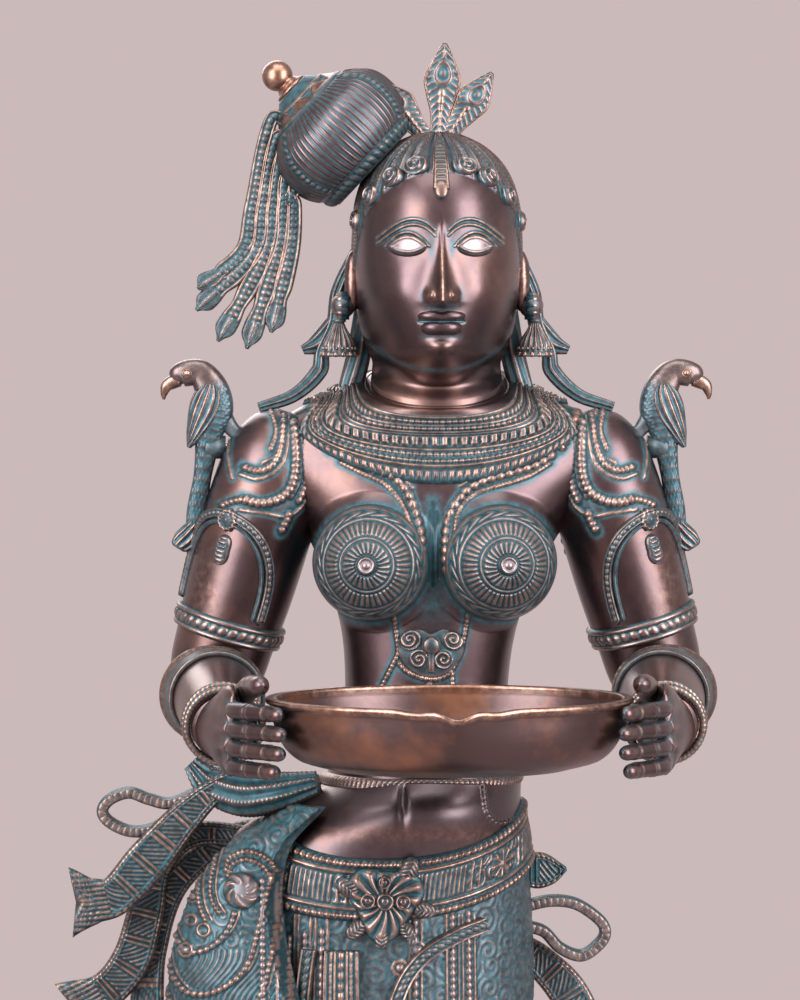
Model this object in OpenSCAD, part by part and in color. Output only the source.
// Standing lady-of-the-lamp figure: a hollow brass figure in cast sections on a lotus pedestal,
// holding an oil bowl that lifts out of both hands.
// Left and right are as seen from the front. The figure faces -Y, +Z is up, and the origin is
// the centre of the underside of the plinth.

/* [Pedestal] */
// Diameter of the plinth at the floor
plinth_d = 340; // [320:2:400]
// Height of the plinth
plinth_h = 38; // [34:1:60]
// Largest diameter over the lotus petals
lotus_d = 306; // [290:2:312]
// Height of the lotus ring
lotus_h = 52; // [46:1:80]
// Number of petals in each of the two rows
petal_count = 16; // [12:1:20]
// Diameter of the deck plate that the feet stand on
deck_d = 262; // [250:2:270]
// Thickness of the deck plate
deck_t = 8; // [6:0.5:14]
// Wall of the hollow castings
cast_wall = 6; // [4:0.5:8]

/* [Legs and skirt] */
// Height from the deck to the waist joint
leg_h = 638; // [600:2:700]
// Height of the skirt's hem above the deck
hem_h = 46; // [42:1:60]
// Width over the hips
hip_w = 210; // [200:2:230]
// Depth of the hips, front to back
hip_depth = 150; // [140:2:165]
// Sideways sway of the hips
hip_sway = 42; // [30:1:48]
// Distance between the middles of the feet
stance_w = 92; // [84:1:100]
// Length of a foot
foot_l = 104; // [92:1:112]
// Diameter of an ankle
ankle_d = 36; // [32:1:40]

/* [Torso and head] */
// Height from the waist joint to the neck joint
torso_h = 256; // [246:1:270]
// Width of the waist joint
waist_w = 126; // [118:1:136]
// Depth of the waist joint
waist_depth = 106; // [98:1:114]
// Width of the midriff where it is narrowest
midriff_w = 106; // [98:1:114]
// Width of the chest under the arms
chest_w = 150; // [142:1:158]
// Width of the shoulders without the arms
shoulder_w = 226; // [216:1:234]
// Depth of the chest
chest_depth = 102; // [94:1:110]
// Radius of a breast
breast_r = 37; // [33:0.5:40]
// Diameter of the neck
neck_d = 86; // [80:1:92]
// Height of the head from the neck joint to the crown
head_h = 162; // [154:1:170]
// Width of the head
head_w = 108; // [102:1:114]
// Depth of the head
head_depth = 144; // [136:1:152]

/* [Arms and lamp bowl] */
// Radius of an upper arm
arm_r = 36; // [33:0.5:38]
// Radius of a wrist
wrist_r = 20; // [18:0.5:22]
// Sideways step from the shoulder to the elbow
arm_spread = 40; // [34:1:46]
// Drop from the shoulder to the elbow
arm_drop = 140; // [132:1:146]
// Thickness of a finger
finger_d = 11; // [9:0.5:12]
// Width of the lamp bowl over its rim
bowl_w = 226; // [214:2:236]
// Depth of the lamp bowl, front to back, without its spout
bowl_d = 190; // [180:2:200]
// Height of the lamp bowl
bowl_h = 44; // [38:1:50]
// Wall of the lamp bowl
bowl_wall = 3.5; // [2.5:0.5:5]
// Clear distance from the breasts to the bowl's rim as it is lifted
bowl_clear = 4; // [3:0.5:10]
// Height of the bowl's rim above the waist joint
rim_rise = 67; // [60:1:74]

/* [Fasteners] */
// Diameter of the studs that hold the feet, the arms and the parrots
stud_d = 10; // [8:1:12]
// Diameter of the dowel in the neck
dowel_d = 28; // [22:1:32]

/* [Hidden] */
// Gap between two castings where they are brazed together
seam = 0.15;
// Running gap round the lift-out bowl
bowl_gap = 0.4;
// Radial clearance of a stud in its hole
stud_gap = 0.1;
nut_h = 0.8 * stud_d;
nut_d = 2 * stud_d;
washer_t = 2;
washer_d = 2.2 * stud_d;
left = 180;
front = 270;

lotus_z = plinth_h;
deck_z = plinth_h + lotus_h + deck_t;
hem_z = deck_z + hem_h;
waist_z = deck_z + leg_h;
neck_z = waist_z + torso_h;
rim_z = waist_z + rim_rise;
chin_z = neck_z + 14;
face_h = 0.73 * head_h;
waist_x = -0.2 * hip_sway;
shoulder = [shoulder_w / 2 - 7, 2, neck_z - 56];
elbow = shoulder + [arm_spread, 12, -arm_drop];
bowl_a = bowl_w / 2;
bowl_b = bowl_d / 2;
roundel_rise = 11;
breast_rise = 0.8 * breast_r;
bowl_reach = 0.5 * chest_depth + breast_rise + roundel_rise + bowl_clear + 0.925 * bowl_b;
bowl_c = [0, -bowl_reach, rim_z];
// Height of the bowl's lip, and how far it stands out over the wall
rim_lip = 3;
finger_r = finger_d / 2;
// Distance of a fingertip's middle outside the lip
finger_out = finger_r - rim_lip + bowl_gap;
index_z = rim_z - rim_lip - bowl_gap - 0.87 * finger_r;
wrist = [bowl_a + 25, -bowl_reach + 56, rim_z - 24];

bronze = [0.27, 0.17, 0.14];
verdigris = [0.25, 0.45, 0.46];
copper = [0.55, 0.33, 0.20];
steel = [0.6, 0.6, 0.6];

// Curves and tables

function lerp(a, b, t) = a + (b - a) * t;
function unit(v) = v / max(norm(v), 1e-9);
function spow(v, e) = sign(v) * pow(abs(v), e);
function bell(d, w) = exp(-(d * d) / (w * w));
function rise(t) = let (c = min(1, max(0, t))) c * c * (3 - 2 * c);
function mean(points) = [for (i = [0:2]) sum([for (p = points) p[i]]) / len(points)];
function sum(list, i = 0) = i < len(list) ? list[i] + sum(list, i + 1) : 0;

// A table row [s, ...] at any s, smoothly between the given rows
function row_index(rows, s, i = 0) =
    i >= len(rows) - 2 || s < rows[i + 1][0] ? i : row_index(rows, s, i + 1);
function row_slope(rows, i) =
    let (a = max(i - 1, 0), b = min(i + 1, len(rows) - 1))
    (rows[b] - rows[a]) / (rows[b][0] - rows[a][0]);
function row_at(rows, s) =
    let (
        i = row_index(rows, s), p = rows[i], q = rows[i + 1], h = q[0] - p[0], t = (s - p[0]) / h,
        m = row_slope(rows, i) * h, n = row_slope(rows, i + 1) * h
    )
    p * (2 * t^3 - 3 * t^2 + 1) + m * (t^3 - 2 * t^2 + t) + q * (3 * t^2 - 2 * t^3) + n * (t^3 - t^2);

// A level section of a body: rows are [z, x, y, half width, front depth, back depth, tilt]
function section_point(row, a, grow = 0) =
    let (d = sin(a) < 0 ? row[4] : row[5], y = (d + grow) * sin(a))
    [row[1] + (row[3] + grow) * spow(cos(a), 0.92), row[2] + y, row[0] + row[6] * y];

// Rings swept along a path: rows are [s, x, y, z, radius to the side, radius across]
function path_point(rows, s) = let (r = row_at(rows, s)) [r[1], r[2], r[3]];
function path_way(rows, s) =
    let (e = 0.01, lo = rows[0][0], hi = rows[len(rows) - 1][0])
    unit(path_point(rows, min(hi, s + e)) - path_point(rows, max(lo, s - e)));
function tube_point(rows, s, a, ref, grow = 0) =
    let (r = row_at(rows, s), d = path_way(rows, s), side = unit(cross(d, ref)), up = cross(d, side))
    [r[1], r[2], r[3]] + side * (r[4] + grow) * cos(a) + up * (r[5] + grow) * sin(a);
function tube_rings(rows, steps, sides, ref, grow = 0, from = 0, to = 1) = [
    for (i = [0:steps]) [
        for (k = [0:sides - 1]) tube_point(rows, lerp(from, to, i / steps), 360 * k / sides, ref, grow)
    ]
];

// A flat ribbon along a path, with four corners to a ring
function ribbon_rings(rows, steps, ref) = [
    for (i = [0:steps])
    let (s = i / steps, r = row_at(rows, s), d = path_way(rows, s))
    let (side = unit(cross(d, ref)), up = cross(d, side))
    [
        for (c = [[1, 1], [-1, 1], [-1, -1], [1, -1]])
            [r[1], r[2], r[3]] + side * r[4] * c[0] + up * r[5] * c[1]
    ]
];

// Surfaces are functions of an angle, a place along the form and a height above it
function turn_rate(face, a, v) = norm(face(a + 1, v, 0) - face(a - 1, v, 0)) / 2;
function rise_rate(face, a, v, h) = norm(face(a, v + h, 0) - face(a, v - h, 0)) / (2 * h);
function face_normal(face, a, v, h) =
    unit(cross(face(a + 1, v, 0) - face(a - 1, v, 0), face(a, v + h, 0) - face(a, v - h, 0)));
// A flat strip that follows a route of [angle, place, half width] over a surface
function strip_ring(face, route, t, h, lift, under) =
    let (
        e = 0.01, p = route(t), q = route(t + e), o = route(t - e),
        ka = turn_rate(face, p[0], p[1]), kv = rise_rate(face, p[0], p[1], h),
        across = unit([(q[1] - o[1]) * kv, (o[0] - q[0]) * ka]) * p[2],
        da = across[0] / ka, dv = across[1] / kv
    )
    [
        face(p[0] - da, p[1] - dv, lift), face(p[0] + da, p[1] + dv, lift),
        face(p[0] + da, p[1] + dv, under), face(p[0] - da, p[1] - dv, under)
    ];
module strip(face, route, steps, h, lift, under = 0.3) {
    skin([for (i = [0:steps]) strip_ring(face, route, i / steps, h, lift, under)]);
}
// Children stand on a surface with their Z axis along its normal
module on_face(face, a, v, h, lift) {
    n = face_normal(face, a, v, h);
    translate(face(a, v, lift)) rotate([0, acos(n[2]), atan2(n[1], n[0])]) children();
}
// A round button with a rim, a valley and a boss
module button(r, rise_h) {
    rotate_extrude() polygon([
        [0, 0], [r, 0], [r, 0.45 * rise_h], [0.86 * r, 0.8 * rise_h], [0.68 * r, 0.8 * rise_h],
        [0.55 * r, 0.5 * rise_h], [0.42 * r, 0.85 * rise_h], [0.22 * r, rise_h], [0, rise_h]
    ]);
}
// A dome on a flat back
module dome(r, rise_h) {
    rotate_extrude() polygon(concat([[0, 0]], [for (a = [0:18:90]) [r * cos(a), rise_h * sin(a)]]));
}

// A closed solid over a list of rings, with flat ends
module skin(rings) {
    n = len(rings[0]);
    m = len(rings);
    points = [for (r = rings) each r, mean(rings[0]), mean(rings[m - 1])];
    walls = [
        for (i = [0:m - 2]) for (k = [0:n - 1]) let (a = i * n + k, b = i * n + (k + 1) % n)
        each [[a, a + n, b + n], [a, b + n, b]]
    ];
    ends = [
        for (k = [0:n - 1]) each [
            [m * n, k, (k + 1) % n], [m * n + 1, (m - 1) * n + (k + 1) % n, (m - 1) * n + k]
        ]
    ];
    polyhedron(points = points, faces = concat(walls, ends), convexity = 6);
}

// A closed ring-shaped solid: the last of its rings joins the first
module loop_skin(rings) {
    n = len(rings[0]);
    m = len(rings);
    polyhedron(
        points = [for (r = rings) each r],
        faces = [
            for (i = [0:m - 1]) for (k = [0:n - 1])
            let (j = (i + 1) % m, next = (k + 1) % n)
            let (a = i * n + k, b = i * n + next, c = j * n + k, d = j * n + next)
            each [[a, c, d], [a, d, b]]
        ],
        convexity = 8
    );
}

// A form carved or joined as one mesh, at its own size
module carved() {
    resize([0, 0, 0]) children();
}

module both_sides() {
    children();
    mirror([1, 0, 0]) children();
}

// Children made for the right side go to the right (1) or the left (-1)
module sided(side) {
    mirror([side < 0 ? 1 : 0, 0, 0]) children();
}

// Lower body

body_sides = 26;
body_stops = [0, 0.13, 0.26, 0.4, 0.53, 0.66, 0.76, 0.82, 0.87, 0.905, 0.935, 0.955, 0.972, 0.987, 1];
half_hip = hip_w / 2;
half_depth = hip_depth / 2;
body_rows = [
    for (r = [
        // share of the leg height, sway, half width, front, back
        [0.000, -0.25, 0.74, 0.58, 0.58],
        [0.200, -0.55, 0.72, 0.62, 0.66],
        [0.400, -0.85, 0.78, 0.74, 0.66],
        [0.600, -1.02, 0.94, 0.88, 0.86],
        [0.760, -1.05, 1.02, 0.95, 1.02],
        [0.870, -1.01, 0.985, 0.94, 1.05],
        [0.935, -0.83, 0.875, 0.95, 0.92],
        [0.972, -0.50, 0.71, 0.92, 0.74]
    ])
    let (z = hem_z + r[0] * (waist_z - hem_z))
    [z, r[1] * hip_sway, 0, r[2] * half_hip, r[3] * half_depth, r[4] * half_depth, 0],
    [waist_z, waist_x, 0, waist_w / 2, 0.57 * waist_depth, 0.43 * waist_depth, 0]
];
// The cleft between the legs: deepest at the hem and gone at the hips
function cleft(z) = 0.34 * (1 - rise((z - hem_z) / (0.8 * (waist_z - hem_z))));
function body_point(a, z, grow = 0) =
    let (
        row = row_at(body_rows, z), p = section_point(row, a, grow),
        squeeze = 1 - cleft(z) * bell(p[0] - row[1], 0.26 * row[3])
    )
    [p[0], p[1] * squeeze, p[2]];
function body_ring(z, grow = 0, sides = body_sides) =
    [for (k = [0:sides - 1]) body_point(360 * k / sides, z, grow)];
function body_rings(stops, grow = 0, sides = body_sides) =
    [for (v = stops) body_ring(lerp(hem_z, waist_z, v), grow, sides)];

module body_form(grow = 0) {
    skin(body_rings(body_stops, grow));
}

spigot_h = 14;
cavity_sides = 12;
// The cavity is open at the waist, where the torso's spigot goes in
module lower_body() {
    stops = [cast_wall / (waist_z - hem_z), 0.4, 0.76, 0.9, 0.95, 0.998];
    mouth = [for (p = body_ring(waist_z, -cast_wall, cavity_sides)) p + [0, 0, 1]];
    color(verdigris) carved() difference() {
        body_form();
        skin(concat(body_rings(stops, -cast_wall, cavity_sides), [mouth]));
    }
}

// A band that lies round a form: face is a function of an angle, a place from 0 to 1 across
// the band, and a height above the form
module band(face, lift, across = 1, sides = body_sides, under = 0.5) {
    loop_skin(concat(
        [for (i = [0:across]) [for (k = [0:sides - 1]) face(360 * k / sides, i / across, lift)]],
        [for (i = [across:-1:0]) [for (k = [0:sides - 1]) face(360 * k / sides, i / across, under)]]
    ));
}

girdle_t = 6;
girdle_drop = 46;
girdle_h = 40;
// The girdle dips at the front, under the belly
function front_share(a) = max(0, -sin(a))^1.5;
function girdle_top(a) = waist_z - 14 - (girdle_drop - 14) * front_share(a);
girdle_point = function (a, v, g) body_point(a, girdle_top(a) - girdle_h * (1 - v), g);

module girdle() {
    color(verdigris) band(girdle_point, girdle_t, 3, body_sides, 1.8);
}

clasp_z = waist_z - girdle_drop - girdle_h / 2 - 6;
clasp_x = -0.9 * hip_sway;
// The angle on the body that lies at the clasp's middle
clasp_a = front + asin((clasp_x - row_at(body_rows, clasp_z)[1]) / half_hip);
clasp_r = 20;
module girdle_clasp() {
    face = function (a, v, g) body_point(a, v, girdle_t + g);
    color(copper) on_face(face, clasp_a, clasp_z, 1, 0.6) {
        rotate_extrude() polygon([
            [0, 0], [clasp_r, 0], [clasp_r, 3], [0.42 * clasp_r, 3], [0.4 * clasp_r, 6],
            [0.28 * clasp_r, 9], [0.12 * clasp_r, 10.5], [0, 10.5]
        ]);
        for (a = [45:90:315]) rotate(a) translate([0.71 * clasp_r, 0, 3.05]) dome(0.25 * clasp_r, 5);
        for (a = [0:90:270]) rotate(a) translate([1.29 * clasp_r, 0, 0]) dome(0.28 * clasp_r, 5);
    }
}

pleat_t = 7;
pleat_a = front - 9;
body_face = function (a, v, g) body_point(a, v, g);
module front_pleat() {
    route = function (t) [pleat_a, lerp(clasp_z - clasp_r * 1.62, hem_z + 8, t), lerp(11, 21, t)];
    color(verdigris) carved() difference() {
        strip(body_face, route, 10, 1, pleat_t, -2);
        body_form(seam);
    }
}

// Raised borders of the cloth that laps over each thigh:
// place, degrees from the front, share of the way from the clasp to the hem
lap_t = 5;
lap_w = 5;
right_lap = [
    [0, 40, 0.035], [0.1, 28, 0.046], [0.2, 16, 0.07], [0.3, 8, 0.112], [0.42, 5, 0.181],
    [0.55, 6, 0.354], [0.7, 9, 0.546], [0.85, 12, 0.738], [1, 14, 0.931]
];
left_lap = [
    [0, -20, 0.062], [0.15, -22, 0.123], [0.3, -25, 0.238], [0.48, -28, 0.392], [0.65, -31, 0.585],
    [0.83, -33, 0.777], [1, -34, 0.931]
];
module lap_band(rows) {
    route = function (t)
        let (r = row_at(rows, min(1, max(0, t))))
        [front + r[1], lerp(clasp_z, hem_z, r[2]), lap_w];
    strip(body_face, route, 11, 1, lap_t, 1);
}
module lap_bands() {
    color(verdigris) {
        lap_band(right_lap);
        lap_band(left_lap);
    }
}

// Fan of pleats that hangs from the girdle on the left hip and spreads over the thigh
fan_top = waist_z - 14;
fan_h = 236;
fan_pleats = 8;
fan_knot_a = left + 40;
fan_spread = 70;
fan_lift = 36;
fan_gap = 1.8;
function fan_point(u, v, out) =
    let (
        a = fan_knot_a + (u - 0.45) * lerp(18, fan_spread, v^0.8),
        crown = fan_lift * sin(180 * min(1, 0.1 + 0.85 * v)) * (0.5 + 0.5 * sin(180 * u)),
        pleat = 2.2 * cos(360 * fan_pleats * u) * rise(2 * v),
        lift = girdle_t + fan_gap + (out ? 4 + crown + pleat : 0)
    )
    body_point(a, fan_top - fan_h * v * (1 - 0.15 * u), lift);
module hip_fan() {
    across = 2 * fan_pleats;
    along = 6;
    stops = [for (j = [along:-1:0]) (j / along)^1.4];
    color(verdigris) skin([for (v = stops) concat(
        [for (i = [0:across]) fan_point(i / across, v, true)],
        [for (i = [fan_pleats:-1:0]) fan_point(i / fan_pleats, v, false)]
    )]);
}

// Loose ribbons at the hips, in planes across the view
ribbon_t = 4;
ribbon_y = 8;
loop_w = 9;
// Half width of a loop's cloth, in hundredths of the ribbons' length
loop_h = 4.5;
ribbon_step = loop_w + ribbon_t + 1;
rear_y = ribbon_y + ribbon_step + 2 * ribbon_t + 1;
// The points of all ribbons are hundredths of this length
sash_l = 100;
left_z = waist_z - 34;
right_z = waist_z - 92;
hip_out = 0.3;
left_hip = body_point(left, left_z, hip_out)[0];
right_hip = body_point(0, right_z, hip_out)[0];
module hip_cut() {
    difference() {
        children();
        body_form(seam);
        band(girdle_point, girdle_t + 0.2, 3, body_sides, -4);
    }
}
// A ribbon through points [out, up, half width] from the hip
module sash(root_x, root_z, out, y, thick, points) {
    k = sash_l / 100;
    last = len(points) - 1;
    rows = [
        for (i = [0:last])
        let (p = points[i])
        [i / last, root_x + out * k * p[0], y, root_z + k * p[1], k * p[2], thick]
    ];
    skin(ribbon_rings(rows, 9, [0, 1, 0]));
}
// The knot is a bundle of cloth that rests on the girdle and runs out to the ribbons
module knot_form(grow = 0) {
    k = sash_l / 100;
    rows = [
        for (r = [
            // place, out, forward, up, radius
            [0, -44, -38, 33, 8], [0.3, -16, -28, 26, 14], [0.6, 6, -13, 24, 16],
            [0.85, 26, -2, 30, 12], [1, 38, 0, 42, 6]
        ]) [r[0], left_hip - k * r[1], ribbon_y + k * r[2], left_z + k * r[3], k * r[4], k * r[4]]
    ];
    skin(tube_rings(rows, 6, 7, [0, 1, 0], grow));
}
module left_sash_loop() {
    color(verdigris) carved() hip_cut() {
        knot_form();
        sash(left_hip, left_z, -1, ribbon_y, loop_w, [
            [20, 30, loop_h], [36, 22, loop_h], [52, 16, loop_h], [66, 19, loop_h],
            [78, 23, loop_h], [90, 19, loop_h], [95, 10, loop_h]
        ]);
        sash(left_hip, left_z, -1, ribbon_y, loop_w, [
            [95, 13, loop_h], [91, 4, loop_h], [78, -2, loop_h], [64, -1, loop_h],
            [50, 7, loop_h], [36, 16, loop_h], [20, 24, loop_h]
        ]);
    }
}
module right_sash_loop() {
    color(verdigris) carved() hip_cut() {
        sash(right_hip, right_z, 1, ribbon_y, loop_w, [
            [-6, 5, loop_h], [12, 9, loop_h], [29, 7, loop_h], [44, -3, loop_h], [48, -12, loop_h]
        ]);
        sash(right_hip, right_z, 1, ribbon_y, loop_w, [
            [48, -9, loop_h], [45, -19, loop_h], [33, -27, loop_h],
            [19, -22, loop_h], [8, -11, loop_h], [-6, -7, loop_h]
        ]);
    }
}
module left_sash_tails() {
    color(verdigris) {
        carved() hip_cut() difference() {
            sash(left_hip, left_z, -1, ribbon_y - ribbon_step, ribbon_t, [
                [4, 34, 7], [22, 26, 8], [42, 8, 11], [66, -20, 14],
                [86, -42, 13], [100, -46, 15], [116, -47, 23]
            ]);
            knot_form(seam);
        }
        carved() hip_cut() sash(left_hip, left_z, -1, ribbon_y + ribbon_step, ribbon_t, [
            [-4, -8, 7], [36, -6, 8], [60, -26, 10], [68, -58, 12],
            [77, -88, 13], [94, -109, 13], [118, -122, 20]
        ]);
        carved() hip_cut() sash(left_hip, left_z, -1, rear_y, ribbon_t, [
            [-14, -4, 8], [10, -8, 8], [34, -24, 9], [52, -44, 10], [62, -74, 10],
            [67, -112, 11], [66, -220, 13], [70, -300, 13], [92, -334, 20]
        ]);
    }
}
module right_sash_tails() {
    color(verdigris) {
        carved() hip_cut() sash(right_hip, right_z, 1, ribbon_y, ribbon_t, [
            [-8, 29, 9], [4, 29, 12], [14, 29, 9], [23, 30, 1.5]
        ]);
        carved() hip_cut() sash(right_hip, right_z, 1, ribbon_y + ribbon_step, ribbon_t, [
            [-8, -22, 9], [8, -34, 11], [28, -58, 13], [46, -104, 12],
            [56, -160, 12], [68, -220, 13], [92, -256, 19]
        ]);
    }
}

// Feet

heel_y = 26;
ankle_y = 6;
module foot() {
    // share of the length from the heel, half width, height
    rows = [
        [0.00, 10, 16], [0.10, 16, 26], [0.30, 18, 33], [0.50, 19, 27], [0.74, 22, 17], [0.92, 22, 11]
    ];
    difference() {
        carved() difference() {
            union() {
                skin([
                    for (r = rows) [
                        for (k = [0:11]) let (a = 30 * k)
                            [r[1] * cos(a), heel_y - r[0] * foot_l, deck_z + r[2] * spow(sin(a), 0.8)]
                    ]
                ]);
                translate([0, ankle_y, deck_z + 10]) cylinder(d = ankle_d, h = hem_h - 10, $fn = 20);
                for (i = [0:4])
                    translate([lerp(-17, 17, i / 4), heel_y - 0.93 * foot_l + abs(i - 1), deck_z + 5.5])
                        scale([1, 1.5, 1]) sphere(r = i == 0 ? 5.8 : 5, $fn = 6);
            }
            translate([0, 0, deck_z - 50]) cube([200, 300, 100], center = true);
        }
        translate([0, ankle_y, deck_z - 1]) cylinder(d = stud_d + 2 * stud_gap, h = 22);
    }
}
foot_x = row_at(body_rows, hem_z)[1];
module left_foot() {
    color(bronze) translate([foot_x - stance_w / 2, 0, 0]) foot();
}
module right_foot() {
    color(bronze) translate([foot_x + stance_w / 2, 0, 0]) mirror([1, 0, 0]) foot();
}
anklet_r = 4;
module anklets() {
    color(copper) for (p = foot_places)
        translate([p[0], p[1], hem_z - anklet_r - 0.3]) rotate_extrude()
            translate([ankle_d / 2 + anklet_r + seam, 0]) circle(r = anklet_r, $fn = 24);
}

// Pedestal

step_in = 9;
rib_t = 8;
module plinth() {
    r = plinth_d / 2;
    top_r = lotus_d / 2 - 4;
    color(bronze) {
        rotate_extrude() polygon([
            [r - cast_wall, 0], [r, 0], [r, 0.36 * plinth_h], [r - step_in / 2, 0.42 * plinth_h],
            [r - step_in, 0.5 * plinth_h], [top_r, 0.84 * plinth_h], [top_r, plinth_h],
            [lotus_bore, plinth_h], [lotus_bore, plinth_h - cast_wall],
            [top_r - cast_wall, 0.84 * plinth_h - cast_wall],
            [r - step_in - cast_wall, 0.5 * plinth_h - cast_wall], [r - cast_wall, 0.3 * plinth_h]
        ]);
        for (a = [0, 90]) rotate(a) translate([-r + cast_wall / 2, -rib_t / 2, 0])
            cube([2 * r - cast_wall, rib_t, 0.3 * plinth_h]);
    }
}

// Two rows of petals, the lower row turned down and the upper row turned up
lotus_bore = 0.82 * lotus_d / 2 - 1.6 * cast_wall;
function lotus_radius(a, v) =
    let (
        upper = v > 0.5, w = abs(2 * v - 1), phase = upper ? 0 : 180 / petal_count,
        petal = pow(abs(cos(petal_count * (a + phase) / 2)), 0.55),
        foot = lerp(0.84, 0.9, upper ? rise((v - 0.5) * 2) : 0.5),
        bulge = 0.02 + (upper ? 0.03 : 0.08) * sin(180 * min(1, 0.15 + 0.6 * w))
    )
    lotus_d / 2 * (foot - 0.02 + petal * bulge + (upper ? 0 : 0.02 * w));
module lotus_ring() {
    sides = petal_count * 4;
    around = [for (k = [0:sides - 1]) 360 * k / sides];
    ring = function (r, a, v) [r * cos(a), r * sin(a), lotus_z + lotus_h * v];
    outer = [for (v = [0, 0.2, 0.42, 0.5, 0.76, 1]) [for (a = around) ring(lotus_radius(a, v), a, v)]];
    inner = [for (v = [1, 0]) [for (a = around) ring(lotus_bore, a, v)]];
    color(bronze) loop_skin(concat(outer, inner));
}

foot_places = [for (x = [-1, 1]) [foot_x + x * stance_w / 2, ankle_y, 0]];
module deck_plate() {
    color(bronze) difference() {
        translate([0, 0, deck_z - deck_t]) rotate_extrude() polygon([
            [0, 0], [deck_d / 2 - 2, 0], [deck_d / 2, 2], [deck_d / 2, deck_t - 2],
            [deck_d / 2 - 2, deck_t], [0, deck_t]
        ]);
        for (p = foot_places) translate([p[0], p[1], 0])
            cylinder(d = stud_d + 2 * stud_gap, h = deck_z + 1);
    }
}
stud_drop = washer_t + nut_h + 4;
module foot_studs() {
    color(steel) for (p = foot_places) translate([p[0], p[1], deck_z - deck_t - stud_drop])
        cylinder(d = stud_d, h = deck_t + stud_drop + 20);
}
module foot_washers() {
    color(steel) for (p = foot_places) translate([p[0], p[1], deck_z - deck_t - washer_t]) washer();
}
module foot_nuts() {
    color(steel) for (p = foot_places) translate([p[0], p[1], deck_z - deck_t - washer_t - nut_h]) nut();
}
module washer() {
    difference() {
        cylinder(d = washer_d, h = washer_t);
        translate([0, 0, -1]) cylinder(d = stud_d + 2 * stud_gap, h = washer_t + 2);
    }
}
module nut() {
    difference() {
        cylinder(d = nut_d, h = nut_h, $fn = 6);
        translate([0, 0, -1]) cylinder(d = stud_d + 2 * stud_gap, h = nut_h + 2);
    }
}

// Torso

torso_sides = 28;
torso_stops = [
    0, 0.12, 0.24, 0.36, 0.45, 0.52, 0.59, 0.66, 0.74, 0.81, 0.85, 0.88, 0.905, 0.93, 0.952, 0.972, 1
];
torso_rows = [
    for (r = [
        // share of the torso's height, shift, half width, front, back, tilt
        [0.000, waist_x, waist_w / 2, 0.57 * waist_depth, 0.43 * waist_depth, 0],
        [0.110, 0.9 * waist_x, 0.24 * (waist_w + midriff_w), 0.49 * chest_depth, 0.42 * chest_depth, 0],
        [0.230, 0.8 * waist_x, midriff_w / 2, 0.44 * chest_depth, 0.40 * chest_depth, 0],
        [0.400, 0.6 * waist_x, 0.39 * chest_w, 0.46 * chest_depth, 0.43 * chest_depth, 0],
        [0.565, 0.4 * waist_x, chest_w / 2, 0.51 * chest_depth, 0.48 * chest_depth, 0],
        [0.705, 0.2 * waist_x, 0.425 * shoulder_w, 0.51 * chest_depth, 0.50 * chest_depth, 0.02],
        [0.810, 0, 0.5 * shoulder_w, 0.46 * chest_depth, 0.49 * chest_depth, 0.06],
        [0.880, 0, 0.49 * shoulder_w, 0.41 * chest_depth, 0.47 * chest_depth, 0.12],
        [0.930, 0, 0.40 * shoulder_w, 0.41 * chest_depth, 0.46 * chest_depth, 0.22],
        [0.972, 0, 0.28 * shoulder_w, 0.41 * chest_depth, 0.44 * chest_depth, 0.30],
        [1.000, 0, neck_d / 2 + 1, neck_d / 2, neck_d / 2 - 1, 0.35]
    ]) [waist_z + r[0] * torso_h, r[1], 4 * r[0], r[2], r[3], r[4], r[5]]
];
breast_x = 0.275 * chest_w;
breast_z = waist_z + 0.555 * torso_h;
breast_mid = 0.4 * waist_x;
function breast_lift(x, z, grow) =
    let (d = norm([abs(x - breast_mid) - breast_x, z - breast_z]) / (1.25 * breast_r + grow))
    d < 1 ? breast_rise * (1 - d * d)^1.4 : 0;
function torso_point(a, z, grow = 0) =
    let (
        p = section_point(row_at(torso_rows, z), a, grow),
        lift = sin(a) < 0 ? breast_lift(p[0], p[2], grow) : 0
    )
    [p[0], p[1] - lift * min(1, -2 * sin(a)), p[2]];
module torso_form(grow = 0) {
    skin([
        for (v = torso_stops) [
            for (k = [0:torso_sides - 1])
                torso_point(360 * k / torso_sides, waist_z + v * torso_h, grow)
        ]
    ]);
}

// A boss inside each shoulder takes the arm's stud
boss_x = 0.30 * shoulder_w;
boss_r = 14;
neck_plug = 34;
module shoulder_boss() {
    both_sides() translate([boss_x, shoulder[1], shoulder[2]]) rotate([0, 90, 0])
        cylinder(r = boss_r, h = 80, $fn = 8);
}
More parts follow.
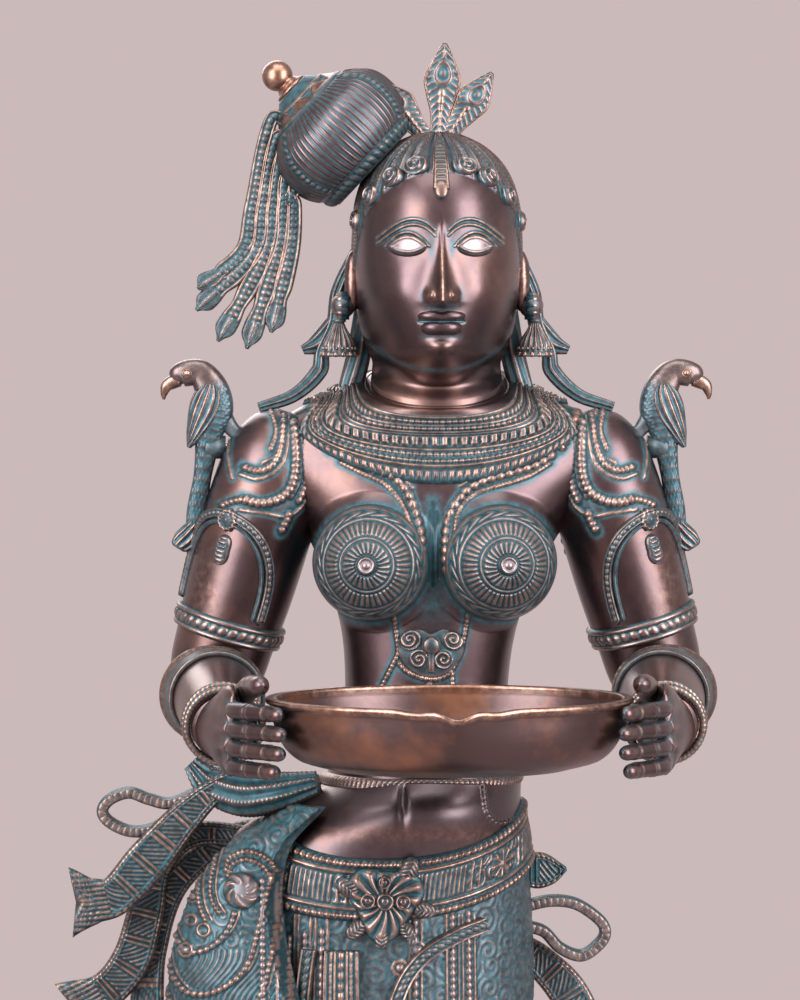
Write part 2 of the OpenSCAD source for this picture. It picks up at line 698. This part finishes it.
// A level ring inside the torso's section, drawn at a height that may lie below the waist
function inner_ring(z, grow) = [
    for (k = [0:cavity_sides - 1])
    let (p = section_point(row_at(torso_rows, max(z, waist_z)), 360 * k / cavity_sides, grow))
    [p[0], p[1], z]
];
module torso_cavity() {
    foot = [for (z = [waist_z - spigot_h - 1, waist_z + 2]) inner_ring(z, -2 * cast_wall)];
    room = [
        for (i = [1:4]) inner_ring(lerp(waist_z + 2, neck_z - neck_plug, i / 4), -1.3 * cast_wall)
    ];
    difference() {
        skin(concat(foot, room));
        shoulder_boss();
    }
}
module waist_spigot() {
    top = [for (p = inner_ring(waist_z, -cast_wall - 0.5)) p + [0, 0, 2]];
    skin([inner_ring(waist_z - spigot_h, -cast_wall - 0.5), top]);
}
module torso() {
    color(bronze) difference() {
        carved() difference() {
            union() {
                torso_form();
                waist_spigot();
            }
            torso_cavity();
            translate([0, neck_y, neck_z - 60]) cylinder(d = dowel_d - 1, h = 120, $fn = 16);
        }
        translate([0, neck_y, neck_z - neck_plug - 20])
            cylinder(d = dowel_d + 2 * stud_gap, h = neck_plug + 60);
        both_sides() translate([boss_x - 1, shoulder[1], shoulder[2]]) rotate([0, 90, 0])
            cylinder(d = stud_d + 2 * stud_gap, h = 90);
    }
}
neck_y = 4;
dowel_l = 60;
module neck_dowel() {
    color(steel) translate([0, neck_y, neck_z - 30]) cylinder(d = dowel_d, h = dowel_l);
}

// Thin chain over the waist joint
chain_h = 7;
chain_t = 2.5;
module waist_chain() {
    lower = function (a, v, g)
        v < 0.5 ? body_point(a, waist_z - chain_h / 2, g) : torso_point(a, waist_z + chain_h / 2, g);
    color(copper) band(lower, chain_t);
}

roundel_r = 0.97 * breast_r;
module breast_roundels() {
    for (side = [-1, 1]) {
        at = [breast_mid + side * breast_x, -0.5 * chest_depth, breast_z];
        color(verdigris) carved() difference() {
            translate(at) rotate([90, 0, 6 * side]) rotate_extrude($fn = 14) polygon([
                [0, 0], [roundel_r, 0], [roundel_r, 0.25 * breast_rise],
                [0.70 * roundel_r, 0.80 * breast_rise], [0.44 * roundel_r, breast_rise + 1],
                [0.40 * roundel_r, breast_rise + 5],
                [0.14 * roundel_r, breast_rise + roundel_rise - 1], [0, breast_rise + roundel_rise]
            ]);
            torso_form(seam);
        }
    }
}

// Broad necklace: it reaches down over the chest at the front and lies on the shoulders at the sides
collar_t = 4;
collar_front = 62;
collar_side = 12;
collar_back = 30;
function collar_low(a) =
    let (dip = sin(a) < 0 ? collar_front : collar_back, share = sin(a) < 0 ? (-sin(a))^2.2 : sin(a))
    neck_z - lerp(collar_side, dip, share);
collar_point = function (a, v, g) torso_point(a, lerp(collar_low(a), neck_z - 0.6, v), g);
module collar() {
    color(verdigris) band(collar_point, collar_t, 3, torso_sides, 1.5);
}

pendant_z = breast_z - 1.25 * breast_r - 15;
torso_face = function (a, v, g) torso_point(a, v, g);
module chest_pendant() {
    color(verdigris) on_face(torso_face, front, pendant_z, 1, 0.8) {
        for (side = [-1, 1]) translate([-6, side * 13, 0]) dome(10, 6);
        dome(11, 7);
        translate([15, 0, 0]) dome(6, 5);
    }
}

// Head

head_sides = 26;
half_head = head_w / 2;
head_rows = [
    for (r = [
        // share of the head's height, middle, half width, front, back, tilt
        [0.000, 4, 0.5 * neck_d, 0.5 * neck_d - 1, 0.5 * neck_d - 2, 0.35],
        [0.050, 4, 0.49 * neck_d, 0.5 * neck_d - 2, 0.5 * neck_d - 2, 0.22],
        [0.085, 2, 0.78 * half_head, 0.36 * head_depth, 0.32 * head_depth, 0.10],
        [0.125, 0, 0.83 * half_head, 0.46 * head_depth, 0.37 * head_depth, 0.02],
        [0.200, 0, 0.91 * half_head, 0.50 * head_depth, 0.41 * head_depth, 0],
        [0.310, 0, 0.97 * half_head, 0.51 * head_depth, 0.45 * head_depth, 0],
        [0.445, 0, half_head, 0.51 * head_depth, 0.48 * head_depth, 0],
        [0.590, 0, half_head, 0.505 * head_depth, 0.49 * head_depth, 0],
        [0.730, 0, 0.96 * half_head, 0.475 * head_depth, 0.48 * head_depth, 0],
        [0.850, 0, 0.82 * half_head, 0.40 * head_depth, 0.42 * head_depth, 0],
        [0.935, 0, 0.58 * half_head, 0.28 * head_depth, 0.30 * head_depth, 0],
        [0.985, 0, 0.28 * half_head, 0.14 * head_depth, 0.14 * head_depth, 0],
        [1.000, 0, 0.05 * half_head, 0.03 * head_depth, 0.03 * head_depth, 0]
    ]) [neck_z + r[0] * head_h, 0, r[1], r[2], r[3], r[4], r[5]]
];
// The face, in thirds: hairline to brow, brow to nose, nose to chin
nose_z = chin_z + face_h / 3;
brow_z = chin_z + 2 * face_h / 3;
mouth_z = lerp(nose_z, chin_z, 0.38);
eye_z = brow_z - 0.07 * face_h;
eye_x = 0.42 * half_head;
nose_rise = 0.11 * head_depth;
function face_relief(x, z) =
    let (
        down = (brow_z - z) / (brow_z - nose_z),
        nose = nose_rise * lerp(0.15, 1, rise(down)) * bell(x, lerp(0.09, 0.17, rise(down)) * half_head)
            * (z < nose_z ? bell(z - nose_z, 4) : 1) * (z > brow_z ? bell(z - brow_z, 9) : 1),
        lip_rows = bell(z - mouth_z - 4, 3.4) + bell(z - mouth_z + 5, 3.8),
        lips = 3.6 * lip_rows * bell(x, 0.36 * half_head),
        chin = 3 * bell(z - chin_z - 9, 8) * bell(x, 0.24 * half_head),
        socket = -3 * bell(abs(x) - eye_x, 0.26 * half_head) * bell(z - eye_z, 9),
        eye = 3.4 * bell(abs(x) - eye_x, 0.17 * half_head) * bell(z - eye_z, 5)
    )
    nose + lips + chin + socket + eye;
function head_angle(k) = let (u = 360 * k / head_sides - 180) front + u - 34 * sin(u);
// The jaw narrows to the chin like the small end of an egg
function jaw(z) = 0.40 * (1 - rise((z - chin_z - 4) / (0.40 * face_h))) * rise((z - neck_z - 5) / 9);
function head_point(a, z, grow = 0) =
    let (
        q = section_point(row_at(head_rows, z), a, grow),
        p = [q[0] * (1 - jaw(z) * max(0, -sin(a))), q[1], q[2]]
    )
    sin(a) < -0.3 ? [p[0], p[1] - face_relief(p[0], p[2]) * rise((-sin(a) - 0.3) * 3), p[2]] : p;
module head_form(grow = 0) {
    stops = [
        0, 0.05, 0.085, 0.125, 0.165, 0.2, 0.235, 0.27, 0.3, 0.33, 0.36, 0.42, 0.48, 0.54, 0.62, 0.72,
        0.82, 0.92, 1
    ];
    skin([
        for (v = stops) [
            for (k = [0:head_sides - 1]) head_point(head_angle(k), neck_z + v * head_h, grow)
        ]
    ]);
}
ear_z = chin_z + 0.34 * face_h;
ear_r = 9;
module head() {
    color(bronze) difference() {
        carved() difference() {
            union() {
                head_form();
                both_sides() translate([half_head + 0.5, -2, ear_z + 12]) scale([0.7, 1, 2.4])
                    sphere(r = ear_r, $fn = 8);
            }
            translate([0, neck_y, neck_z - 31]) cylinder(d = dowel_d - 1, h = dowel_l, $fn = 16);
        }
        translate([0, neck_y, neck_z - 31]) cylinder(d = dowel_d + 2 * stud_gap, h = dowel_l + 3);
    }
}

// Curls along the hairline, from ear to ear
curl_count = 9;
hair_z = chin_z + face_h;
curl_r = 8;
head_face = function (a, v, g) head_point(a, v, g);
module forehead_curls() {
    color(verdigris) for (i = [0:curl_count - 1]) {
        u = i / (curl_count - 1) * 2 - 1;
        if (abs(u) > 0.01) on_face(head_face, front + 76 * u, hair_z + 4 - 36 * u * u, 1, 0.3)
            button(curl_r, 5);
    }
}
module forehead_jewel() {
    route = function (t) [front, lerp(hair_z - 12, neck_z + 0.94 * head_h, t), lerp(6.5, 4, t)];
    color(copper) strip(head_face, route, 6, 1, 4, 0.5);
}

// Crest of three leaves standing on the crown
crown = [0, -6, neck_z + head_h];
crest_h = 58;
module crest() {
    leaves = [[-40, 0.8 * crest_h, 11], [4, crest_h, 12], [35, 0.86 * crest_h, 11]];
    color(verdigris) carved() difference() {
        for (l = leaves) translate(crown + [0, 0, -12]) rotate([0, l[0], 0])
            skin([for (r = [[0, 7], [0.3, 6], [0.65, l[2]], [1, 1.5]]) [
                for (k = [0:5]) [
                    r[1] * cos(60 * k), 4.5 * (1 - 0.6 * r[0]) * sin(60 * k), (l[1] + 12) * r[0]
                ]
            ]]);
        head_form(seam);
        bun_form(seam);
    }
}

// Side bun: a barrel of wound hair on an axis that leans up to the left
bun_l = 74;
bun_r = 48;
bun_lean = 47;
bun_rows = [
    [0, 0.70], [0.06, 0.78], [0.25, 0.96], [0.45, 1.0], [0.62, 0.93],
    [0.76, 0.72], [0.83, 0.54], [0.92, 0.40], [1, 0.27]
];
bun_at = [14 - 0.5 * head_w, 4, neck_z + 0.90 * head_h - 6];
module bun_frame() {
    translate(bun_at) rotate([0, -bun_lean, 0]) children();
}
module bun_form(grow = 0) {
    bun_frame() skin([for (r = [for (i = [0:8]) row_at(bun_rows, i / 8)]) [
        for (k = [0:15]) [
            (r[1] * bun_r + grow) * cos(22.5 * k), (r[1] * bun_r + grow) * sin(22.5 * k),
            r[0] * (bun_l + 2 * grow) - grow
        ]
    ]]);
}
module hair_bun() {
    color(bronze) carved() difference() {
        bun_form();
        head_form(seam);
    }
}
knob_r = 10;
module bun_knob() {
    color(copper) bun_frame() translate([0, 0, bun_l + seam]) rotate_extrude() polygon(concat(
        [[0, 0], [0.24 * bun_r, 0], [0.24 * bun_r, 2], [6, 5]],
        [for (a = [-45:15:90]) [knob_r * cos(a), 5 + knob_r * (0.75 + sin(a))]]
    ));
}
// Strings of flowers that hang side by side from the outer side of the bun, and part at their tips
tassel_tips = [[-2.40, -1.64], [-2.42, -1.93], [-2.13, -2.35], [-1.74, -2.45], [-1.41, -2.23]];
module bun_tassels() {
    last = len(tassel_tips) - 1;
    color(verdigris) carved() difference() {
        for (i = [0:last]) {
            u = i / last;
            // place, out and up in radii of the bun, half width
            rows = [
                for (r = [
                    [0, lerp(-1.40, -1.14, u), lerp(0.65, -0.39, u), 0.075],
                    [0.35, lerp(-1.66, -1.10, u), -0.53, 0.085],
                    [0.65, lerp(-1.79, -1.15, u), -1.15, 0.10],
                    [1, tassel_tips[i][0], tassel_tips[i][1], 0.115]
                ])
                let (x = bun_at[0] + bun_r * r[1], z = bun_at[2] + bun_r * r[2])
                [r[0], x, 0, z, bun_r * r[3], 0.092 * bun_r]
            ];
            skin(ribbon_rings(rows, 6, [0, 1, 0]));
        }
        bun_form(seam);
    }
}

// Ear ornaments: a rosette at the lobe and a bell that hangs from it
bell_h = 24;
bell_r = 11;
ring_x = half_head + 0.78 * ear_r;
ring_y = -2;
rosette_r = 9;
module earring() {
    color(verdigris) translate([ring_x, ring_y, ear_z - 4]) {
        rotate([0, 90, 0]) button(rosette_r, 5);
        translate([2.5, 0, -rosette_r - bell_h]) rotate_extrude() polygon([
            [0, 0], [bell_r, 0], [bell_r + 1, 1.5], [bell_r - 1, 4], [0.72 * bell_r, 0.55 * bell_h],
            [0.45 * bell_r, 0.85 * bell_h], [2.5, bell_h], [2.5, bell_h + 2], [0, bell_h + 2]
        ]);
    }
}
module right_earring() {
    earring();
}
module left_earring() {
    mirror([1, 0, 0]) earring();
}

// Lock of hair from behind the ear that falls beside the neck and out to the top of the arm
lock_y = 20;
lock_r = 5;
module hair_lock(side) {
    rows = [
        for (r = [
            // place, out, back, up, radius
            [0, half_head - 6, 0, ear_z + 38, 0.8], [0.24, half_head + 9, 0, ear_z + 6, 1],
            [0.40, half_head + 12, 0, ear_z - 16, 1.1], [0.54, half_head + 20, -1, ear_z - 34, 1],
            [0.64, half_head + 22, -3, neck_z + 8, 1.1], [0.82, 0.41 * shoulder_w, -7, neck_z - 8, 0.9],
            [1, 0.51 * shoulder_w, -12, neck_z - 16, 0.7]
        ]) [r[0], r[1], lock_y + r[2], r[3], lock_r * r[4], lock_r * r[4]]
    ];
    nape = [
        [0, half_head - 8, lock_y - 6, ear_z - 6, 1.4 * lock_r, 1.4 * lock_r],
        [0.5, half_head - 4, lock_y - 4, neck_z + 20, 1.6 * lock_r, 1.6 * lock_r],
        [1, half_head + 2, lock_y - 4, neck_z - 4, 1.6 * lock_r, 1.6 * lock_r]
    ];
    flare = [
        [0, half_head + 12, lock_y, ear_z - 14, lock_r, 4],
        [0.5, half_head + 22, lock_y, ear_z - 28, 1.3 * lock_r, 4],
        [1, half_head + 33, lock_y, ear_z - 33, 0.6 * lock_r, 3]
    ];
    color(verdigris) carved() difference() {
        sided(side) {
            skin(tube_rings(rows, 7, 6, [0, 1, 0]));
            skin(ribbon_rings(flare, 2, [0, 1, 0]));
            skin(tube_rings(nape, 3, 6, [0, 1, 0]));
        }
        sided(side) arm_form(seam);
        head_form(seam);
        torso_form(seam);
        band(collar_point, collar_t + seam, 3, torso_sides, -4);
    }
}
module right_hair_lock() {
    hair_lock(1);
}
module left_hair_lock() {
    hair_lock(-1);
}

// Arms: made for the right side and mirrored

arm_sides = 12;
arm_rows = [
    for (r = [
        // place along the arm, share from shoulder to elbow, radius
        [0.00, -0.26, 0.25], [0.05, -0.21, 0.62], [0.12, -0.08, 0.90], [0.22, 0.10, 1.0], [0.38, 0.34, 1.0],
        [0.55, 0.56, 0.97], [0.72, 0.78, 0.90], [0.86, 0.95, 0.84], [0.94, 1.04, 0.68], [1.00, 1.10, 0.40]
    ]) let (p = lerp(shoulder, elbow, r[1])) [r[0], p[0], p[1], p[2], r[2] * arm_r, r[2] * arm_r]
];
arm_ref = [0, 1, 0];
module arm_form(grow = 0) {
    skin([
        for (s = [0, 0.05, 0.12, 0.22, 0.38, 0.55, 0.72, 0.86, 0.94, 1])
        [for (k = [0:arm_sides - 1]) tube_point(arm_rows, s, 360 * k / arm_sides, arm_ref, grow)]
    ]);
}
forearm_rows = [
    for (r = [[0, -0.02, 0.80], [0.2, 0.18, 0.80], [0.5, 0.48, 0.76], [0.8, 0.8, 0], [1, 1, 0]])
        let (
            p = lerp(elbow, wrist, r[1]),
            w = r[2] > 0 ? r[2] * arm_r : lerp(wrist_r, wrist_r + 3, (1 - r[0]) * 5)
        )
        [r[0], p[0], p[1], p[2] + 4 * r[0] * (1 - r[0]), w, w]
];
module forearm_form(grow = 0) {
    skin(tube_rings(forearm_rows, 5, arm_sides, [0, 0, 1], grow));
}
stud_reach = shoulder[0] + 26;
module upper_arm(side) {
    color(bronze) difference() {
        carved() difference() {
            sided(side) arm_form();
            torso_form(seam);
            band(collar_point, collar_t + seam, 3, torso_sides, -4);
        }
        sided(side) {
            translate([boss_x, shoulder[1], shoulder[2]]) rotate([0, 90, 0])
                cylinder(d = stud_d + 2 * stud_gap, h = stud_reach - boss_x + 1);
            translate(parrot_stud_at) rotate([0, 90, 0])
                cylinder(d = parrot_stud_d + 2 * stud_gap, h = 60);
        }
    }
}
module right_upper_arm() {
    upper_arm(1);
}
module left_upper_arm() {
    upper_arm(-1);
}
module shoulder_studs() {
    color(steel) both_sides() translate([boss_x - stud_drop, shoulder[1], shoulder[2]]) rotate([0, 90, 0])
        cylinder(d = stud_d, h = stud_reach - boss_x + stud_drop);
}
module shoulder_washers() {
    color(steel) both_sides() translate([boss_x - washer_t, shoulder[1], shoulder[2]]) rotate([0, 90, 0])
        washer();
}
module shoulder_nuts() {
    color(steel) both_sides() translate([boss_x - washer_t - nut_h, shoulder[1], shoulder[2]])
        rotate([0, 90, 0]) nut();
}

// Armlet: a band round the arm, and an arched frame with a drop that stands on it
armlet_t = 3.5;
band_lo = 0.72;
band_hi = 0.64;
arch_hi = 0.30;
arch_mid = 58;
arch_half = 62;
arm_face = function (a, v, g) tube_point(arm_rows, v, a, arm_ref, g);
armlet_point = function (a, v, g) arm_face(a, lerp(band_hi, band_lo, v), g > 1 ? g : 0.5);
arch_t = 4;
arch_path = function (t) [
    arch_mid + arch_half * cos(180 * min(1, max(0, t))),
    lerp(band_hi - 0.003, arch_hi, max(0, sin(180 * t))^0.7), 0.86 * armlet_t
];
module armlet() {
    color(verdigris) {
        band(armlet_point, armlet_t, 1, arm_sides);
        strip(arm_face, arch_path, 12, 0.01, arch_t, 0.6);
        on_face(arm_face, arch_mid, arch_hi + 0.1, 0.01, 0.4) dome(6, 5);
    }
}
module right_armlet() {
    armlet();
}
module left_armlet() {
    mirror([1, 0, 0]) armlet();
}

// Elbow cuff: a ring whose outer side flares away from the forearm
cuff_flare = 5;
cuff_at = 0.31;
cuff_w = 0.11;
forearm_face = function (a, v, g) tube_point(forearm_rows, v, a, [0, 0, 1], g);
cuff_point = function (a, v, g)
    forearm_face(a, cuff_at + cuff_w * v, g > 1 ? g + cuff_flare * max(0, -cos(a)) * (1 - v) : 0.5);
module elbow_cuff() {
    color(copper) band(cuff_point, 3.5, 1, arm_sides);
}
module right_elbow_cuff() {
    elbow_cuff();
}
module left_elbow_cuff() {
    mirror([1, 0, 0]) elbow_cuff();
}
module right_forearm() {
    color(bronze) carved() difference() {
        forearm_form();
        arm_form(seam);
    }
}
module left_forearm() {
    mirror([1, 0, 0]) right_forearm();
}

bangle_r = 2.6;
forearm_way = unit(wrist - elbow);
module bangles() {
    color(copper) for (s = [0.90, 0.96])
        translate(path_point(forearm_rows, s)) rotate([0, 0, atan2(forearm_way[1], forearm_way[0])])
            rotate([0, acos(forearm_way[2]), 0])
            rotate_extrude() translate([row_at(forearm_rows, s)[4] + bangle_r + 0.4, 0])
                circle(r = bangle_r, $fn = 24);
}
module right_bangles() {
    bangles();
}
module left_bangles() {
    mirror([1, 0, 0]) bangles();
}

// Hands: the fingers follow the bowl's wall, and the index finger carries its rim
finger_step = finger_d + 0.8;
// A place round the bowl, at a distance outside its rim
function round_bowl(a, out, z) =
    [bowl_c[0] + (bowl_a + out) * cos(a), bowl_c[1] + (bowl_b + out) * sin(a), z];
module finger(z, from_a, to_a, r, from_out, to_out) {
    rows = [
        for (i = [0:4])
        let (
            s = i / 4, w = lerp(r, 0.84 * r, s), out = lerp(from_out, to_out, rise(1.25 * s)),
            p = round_bowl(lerp(from_a, to_a, s), out, z + 0.87 * (r - w))
        )
        [s, p[0], p[1], p[2], w, w]
    ];
    tip = tube_rings(rows, 1, 6, [0, 0, 1], -0.4 * r, 0.999, 1)[1];
    skin(concat(tube_rings(rows, 4, 6, [0, 0, 1]), [[for (p = tip) p + path_way(rows, 1) * 0.6 * r]]));
}
knuckle_out = 20;
knuckle_a = 4;
// Places round the bowl that the four fingers reach
tip_a = [-27, -29, -28, -24];
module hand() {
    color(bronze) carved() difference() {
        union() {
            for (i = [0:3])
                finger(index_z - i * finger_step, knuckle_a, tip_a[i], finger_r, knuckle_out, finger_out);
            thumb();
            palm();
        }
        bowl_room();
        forearm_form(seam);
    }
}
// The thumb lies over the palm's edge and along the outside of the rim
module thumb() {
    r = finger_r + 0.8;
    mid = round_bowl(12, 13, rim_z + 3);
    tip = round_bowl(-13, r + bowl_gap, rim_z + 9);
    rows = [
        [0, wrist[0] - 2, wrist[1] - 12, wrist[2] + 10, 1.3 * r, 1.3 * r],
        [0.55, mid[0], mid[1], mid[2], 1.15 * r, 1.15 * r],
        [0.92, tip[0], tip[1], tip[2], 0.95 * r, 0.95 * r],
        [1, tip[0] - 1, tip[1] - 5, tip[2], 0.5 * r, 0.5 * r]
    ];
    skin(tube_rings(rows, 5, 6, [0, 0, 1]));
}
// The palm runs from the wrist to the knuckles, thin across and tall
module palm() {
    knuckle = round_bowl(knuckle_a - 1, knuckle_out, index_z - 1.5 * finger_step);
    near = lerp(wrist, knuckle, 0.35) + [0, 0, 2];
    far = lerp(wrist, knuckle, 0.75) + [0, 0, 3];
    rows = [
        [0, wrist[0], wrist[1] + 3, wrist[2], wrist_r - 1, wrist_r - 1],
        [0.35, near[0], near[1], near[2], 14, 24],
        [0.75, far[0], far[1], far[2], 9, 29],
        [1, knuckle[0], knuckle[1], knuckle[2] + 2, 6, 2.15 * finger_step]
    ];
    skin(tube_rings(rows, 4, 10, [0, 0, 1]));
}
// The space that the bowl and its way up take
module bowl_room() {
    translate([bowl_c[0], bowl_c[1], rim_z - bowl_h - 4]) linear_extrude(height = bowl_h + 80)
        bowl_outline(bowl_gap - rim_lip);
    translate([bowl_c[0], bowl_c[1], rim_z - rim_lip - bowl_gap]) linear_extrude(height = 80)
        bowl_outline(bowl_gap);
}
module bowl_outline(grow) {
    polygon([for (k = [0:35]) let (a = 10 * k) [(bowl_a + grow) * cos(a), (bowl_b + grow) * sin(a)]]);
}
module right_hand() {
    hand();
}
module left_hand() {
    mirror([1, 0, 0]) hand();
}

// Parrots: each stands on a stud in the outside of the shoulder, its tail against the arm
parrot_stud_d = 6;
parrot_base = tube_point(arm_rows, 0.16, 0, arm_ref);
parrot_stud_at = parrot_base + [-14, 0, 4];
parrot_h = 120;
// A path of [place, out, back, up, half width, half thickness], in hundred-and-twentieths of the height
function parrot_path(points) = [
    for (r = points)
    let (k = parrot_h / 120, p = parrot_base + k * [r[1], r[2], r[3]])
    [r[0], p[0], p[1], p[2], k * r[4], k * r[5]]
];
parrot_rows = parrot_path([
    [0.00, 31, 0, 47, 5, 5], [0.08, 27, 0, 51, 8, 7.5], [0.20, 15, 0, 52, 9, 8.5],
    [0.34, 7, 0, 41, 11.5, 9.5], [0.50, 6, 0, 27, 13, 10], [0.64, 9, 0, 12, 9, 8],
    [0.80, 13, 2, -14, 6, 6], [0.92, 17, 5, -38, 6.5, 6], [1.00, 20, 6, -56, 5, 5]
]);
// The parrot leaves room for the armlet's arch
arch_room = function (t) arch_path(t) + [0, 0, 2 * seam];
module parrot() {
    beak = parrot_path([[0, 30, 0, 47, 5, 5], [0.5, 36, 0, 44, 4, 4], [1, 38, 0, 35, 1, 1]]);
    wing = parrot_path([[0, 10, 0, 44, 5, 12.5], [0.4, 13, 0, 28, 9, 11], [1, 22, 0, 5, 2, 8.5]]);
    tail = parrot_path([[0, 18, 6, -46, 6, 6], [0.6, 24, 6, -56, 8, 6], [1, 29, 6, -62, 5, 6]]);
    leg = parrot_path([[0, 2, 0, 26, 8, 7], [0.6, -6, 0, 16, 5, 5], [1, -14, 0, 8, 5, 5]]);
    color(bronze) difference() {
        carved() difference() {
            union() {
                skin(tube_rings(parrot_rows, 8, 6, arm_ref));
                skin(tube_rings(beak, 2, 5, arm_ref));
                skin(tube_rings(wing, 2, 5, arm_ref));
                skin(tube_rings(tail, 2, 6, arm_ref));
                skin(tube_rings(leg, 2, 5, arm_ref));
                translate(parrot_base + [-2, 0, 4]) rotate([0, 90, 0]) cylinder(r = 7.5, h = 14, $fn = 8);
            }
            arm_form(seam);
            strip(arm_face, arch_room, 12, 0.01, arch_t + 2 * seam, -1);
        }
        translate(parrot_stud_at) rotate([0, 90, 0])
            cylinder(d = parrot_stud_d + 2 * stud_gap, h = parrot_stud_l + 0.5);
    }
}
parrot_stud_l = 26;
module right_parrot() {
    parrot();
}
module left_parrot() {
    mirror([1, 0, 0]) parrot();
}
module parrot_studs() {
    color(steel) both_sides() translate(parrot_stud_at) rotate([0, 90, 0])
        cylinder(d = parrot_stud_d, h = parrot_stud_l);
}

// Lamp bowl: a flat-bottomed dish with a pinched spout at the front
bowl_sides = 36;
spout_l = 13;
// How far the inside's profile lies above the outside's at the floor
floor_lift = 0.7 * bowl_wall;
bowl_profile = [[0.64, 0], [0.82, 0.13], [0.93, 0.45], [0.97, 0.86]];
function spout(a) = bell(a - front, 13);
function bowl_point(a, s, z, inset) =
    let (
        pinch = spout(a) * rise(z / bowl_h),
        dip = 3 * spout(a) * rise(2 * z / bowl_h - 1) * (1 + 0.6 * cos(24 * (a - front))),
        x = (s * bowl_a - inset) * cos(a),
        y = (s * bowl_b - inset + spout_l * pinch) * sin(a)
    )
    bowl_c + [x, y, z - dip - bowl_h];
module lamp_bowl() {
    around = [for (k = [0:bowl_sides - 1]) 360 * (k + 0.5) / bowl_sides];
    outer = [for (p = bowl_profile) [for (a = around) bowl_point(a, p[0], p[1] * bowl_h, 0)]];
    lip = [
        [for (a = around) bowl_point(a, 1, bowl_h - rim_lip, 0)],
        [for (a = around) bowl_point(a, 1, bowl_h, 0)],
        [for (a = around) bowl_point(a, 0.97, bowl_h, bowl_wall)]
    ];
    inner = [
        for (i = [len(bowl_profile) - 1:-1:0])
        let (p = bowl_profile[i], z = max(bowl_wall, p[1] * bowl_h + floor_lift * (1 - p[1])))
        [for (a = around) bowl_point(a, p[0], z, bowl_wall)]
    ];
    color(copper) skin(concat(outer, lip, inner));
}

plinth();
lotus_ring();
deck_plate();
foot_studs();
foot_washers();
foot_nuts();
left_foot();
right_foot();
anklets();
lower_body();
girdle();
girdle_clasp();
front_pleat();
lap_bands();
hip_fan();
left_sash_loop();
left_sash_tails();
right_sash_loop();
right_sash_tails();
waist_chain();
torso();
breast_roundels();
collar();
chest_pendant();
neck_dowel();
head();
forehead_curls();
forehead_jewel();
crest();
hair_bun();
bun_knob();
bun_tassels();
left_earring();
right_earring();
left_hair_lock();
right_hair_lock();
shoulder_studs();
shoulder_washers();
shoulder_nuts();
left_upper_arm();
right_upper_arm();
left_armlet();
right_armlet();
left_elbow_cuff();
right_elbow_cuff();
left_forearm();
right_forearm();
left_bangles();
right_bangles();
left_hand();
right_hand();
left_parrot();
right_parrot();
parrot_studs();
lamp_bowl();
